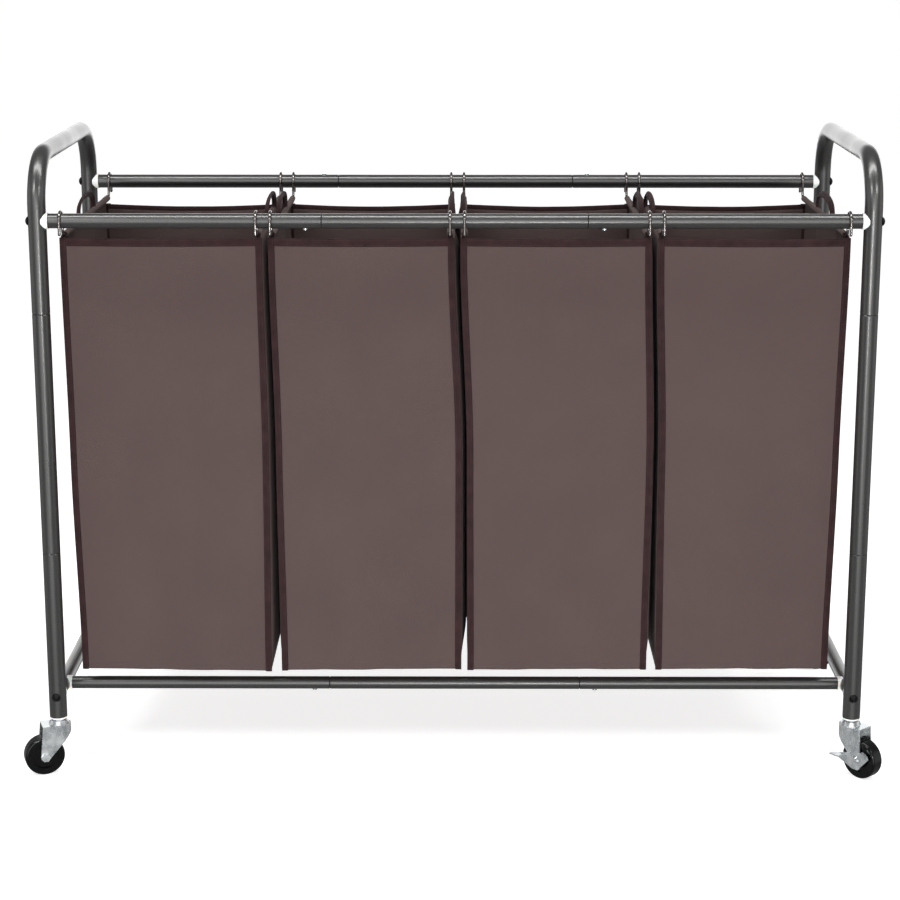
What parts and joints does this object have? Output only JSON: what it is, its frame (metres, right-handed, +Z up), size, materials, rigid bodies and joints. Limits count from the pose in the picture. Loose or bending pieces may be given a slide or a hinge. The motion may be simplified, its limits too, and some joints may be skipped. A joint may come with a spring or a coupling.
{
  "type": "rolling laundry sorter",
  "caption": "Rolling laundry sorter: a coated steel tube frame with push handles on swivel casters, with removable fabric bags hung by wire hooks from its top bars.",
  "frame": {"origin": "on the floor, at the middle of the frame's width and depth", "axes": "+X to the right along the long bars as seen from the front, +Y from front to back, +Z up"},
  "size_m": [1.089, 0.4548, 0.789],
  "materials": {
    "frame_paint": "semi-gloss metallic charcoal powder coat",
    "spacer_nylon": "natural moulded nylon",
    "insert_nylon": "natural moulded nylon",
    "black_bolt": "black oxide steel",
    "screw_steel": "zinc-plated pan head",
    "caster_zinc": "bright zinc-plated pressed steel",
    "axle_steel": "zinc-plated steel",
    "wheel_plastic": "glossy black moulded polypropylene",
    "bag_fabric": "woven oxford polyester, taupe",
    "hook_wire": "black coated wire",
    "strap_webbing": "dark brown woven webbing"
  },
  "bodies": {
    "frame": {"handle_left": "frame_paint", "handle_right": "frame_paint", "leg_middle_front_left": "frame_paint", "leg_middle_front_right": "frame_paint", "leg_middle_back_left": "frame_paint", "leg_middle_back_right": "frame_paint", "leg_lower_front_left": "frame_paint", "leg_lower_front_right": "frame_paint", "leg_lower_back_left": "frame_paint", "leg_lower_back_right": "frame_paint", "side_tube_left": "frame_paint", "side_tube_right": "frame_paint", "top_front_bar_left": "frame_paint", "top_front_bar_middle": "frame_paint", "top_front_bar_right": "frame_paint", "top_back_bar_left": "frame_paint", "top_back_bar_middle": "frame_paint", "top_back_bar_right": "frame_paint", "lower_front_bar_left": "frame_paint", "lower_front_bar_middle": "frame_paint", "lower_front_bar_right": "frame_paint", "lower_back_bar_left": "frame_paint", "lower_back_bar_middle": "frame_paint", "lower_back_bar_right": "frame_paint", "leg_spacers": "spacer_nylon", "side_tube_spacers": "spacer_nylon", "frame_bolts": "black_bolt", "bar_screws": "screw_steel", "threaded_inserts": "insert_nylon", "caster_sockets": "spacer_nylon", "caster_stems": "caster_zinc"},
    "caster_front_left": {"caster_fork_front_left": "caster_zinc", "caster_axle_front_left": "axle_steel"},
    "wheel_front_left": {"caster_wheel_front_left": "wheel_plastic"},
    "caster_front_right": {"caster_fork_front_right": "caster_zinc", "caster_axle_front_right": "axle_steel"},
    "wheel_front_right": {"caster_wheel_front_right": "wheel_plastic"},
    "brake_front_right": {"brake_lever_front_right": "caster_zinc"},
    "caster_back_left": {"caster_fork_back_left": "caster_zinc", "caster_axle_back_left": "axle_steel"},
    "wheel_back_left": {"caster_wheel_back_left": "wheel_plastic"},
    "brake_back_left": {"brake_lever_back_left": "caster_zinc"},
    "caster_back_right": {"caster_fork_back_right": "caster_zinc", "caster_axle_back_right": "axle_steel"},
    "wheel_back_right": {"caster_wheel_back_right": "wheel_plastic"},
    "bag_1": {"bag_1_fabric": "bag_fabric", "bag_1_rods": "hook_wire", "bag_1_straps": "strap_webbing"},
    "bag_2": {"bag_2_fabric": "bag_fabric", "bag_2_rods": "hook_wire", "bag_2_straps": "strap_webbing"},
    "bag_3": {"bag_3_fabric": "bag_fabric", "bag_3_rods": "hook_wire", "bag_3_straps": "strap_webbing"},
    "bag_4": {"bag_4_fabric": "bag_fabric", "bag_4_rods": "hook_wire", "bag_4_straps": "strap_webbing"}
  },
  "joints": [
    {"name": "swivel_front_left", "type": "hinge", "parent": "frame", "child": "caster_front_left", "pos_m": [-0.5, -0.1875, 0.066], "axis": [0, 0, 1], "continuous": true},
    {"name": "wheel_spin_front_left", "type": "hinge", "parent": "caster_front_left", "child": "wheel_front_left", "pos_m": [-0.51879, -0.19434, 0.025], "axis": [0.342, -0.9397, 0], "continuous": true},
    {"name": "swivel_front_right", "type": "hinge", "parent": "frame", "child": "caster_front_right", "pos_m": [0.5, -0.1875, 0.066], "axis": [0, 0, 1], "continuous": true},
    {"name": "wheel_spin_front_right", "type": "hinge", "parent": "caster_front_right", "child": "wheel_front_right", "pos_m": [0.51338, -0.20236, 0.025], "axis": [0.7431, 0.6691, 0], "continuous": true},
    {"name": "brake_front_right", "type": "hinge", "parent": "caster_front_right", "child": "brake_front_right", "pos_m": [0.51338, -0.20236, 0.025], "axis": [-0.7431, -0.6691, 0], "range_deg": [0, 28]},
    {"name": "swivel_back_left", "type": "hinge", "parent": "frame", "child": "caster_back_left", "pos_m": [-0.5, 0.1875, 0.066], "axis": [0, 0, 1], "continuous": true},
    {"name": "wheel_spin_back_left", "type": "hinge", "parent": "caster_back_left", "child": "wheel_back_left", "pos_m": [-0.51338, 0.20236, 0.025], "axis": [-0.7431, -0.6691, 0], "continuous": true},
    {"name": "brake_back_left", "type": "hinge", "parent": "caster_back_left", "child": "brake_back_left", "pos_m": [-0.51338, 0.20236, 0.025], "axis": [0.7431, 0.6691, 0], "range_deg": [0, 28]},
    {"name": "swivel_back_right", "type": "hinge", "parent": "frame", "child": "caster_back_right", "pos_m": [0.5, 0.1875, 0.066], "axis": [0, 0, 1], "continuous": true},
    {"name": "wheel_spin_back_right", "type": "hinge", "parent": "caster_back_right", "child": "wheel_back_right", "pos_m": [0.51879, 0.19434, 0.025], "axis": [-0.342, 0.9397, 0], "continuous": true},
    {"name": "bag_1_lift", "type": "slide", "parent": "frame", "child": "bag_1", "axis": [0, 0, 1], "range_m": [0, 0.6]},
    {"name": "bag_2_lift", "type": "slide", "parent": "frame", "child": "bag_2", "axis": [0, 0, 1], "range_m": [0, 0.6]},
    {"name": "bag_3_lift", "type": "slide", "parent": "frame", "child": "bag_3", "axis": [0, 0, 1], "range_m": [0, 0.6]},
    {"name": "bag_4_lift", "type": "slide", "parent": "frame", "child": "bag_4", "axis": [0, 0, 1], "range_m": [0, 0.6]}
  ]
}
